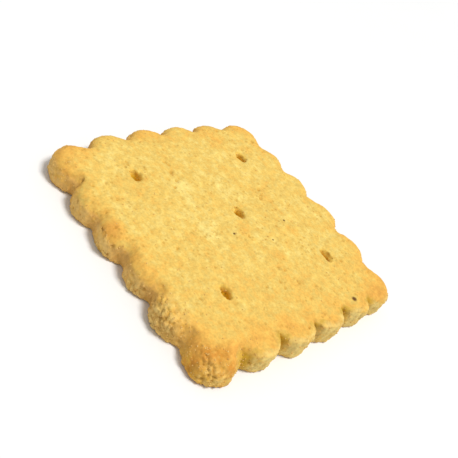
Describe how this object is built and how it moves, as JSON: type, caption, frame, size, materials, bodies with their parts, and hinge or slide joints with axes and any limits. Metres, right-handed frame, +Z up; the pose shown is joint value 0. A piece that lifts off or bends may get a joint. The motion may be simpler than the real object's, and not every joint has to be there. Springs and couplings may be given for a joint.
{
  "type": "shortbread biscuit",
  "caption": "Square pale golden shortbread biscuit with a scalloped edge, a rounded baked top and blind docker holes, lying flat.",
  "frame": {"origin": "on the flat underside, below the middle of the biscuit's box", "axes": "+Z up out of the baked top; X and Y along the biscuit's sides, with the docker slots' long way along X"},
  "size_m": [0.06, 0.0598, 0.0059],
  "materials": {
    "baked_dough": null
  },
  "bodies": {
    "root": {"biscuit": "baked_dough"}
  },
  "joints": []
}
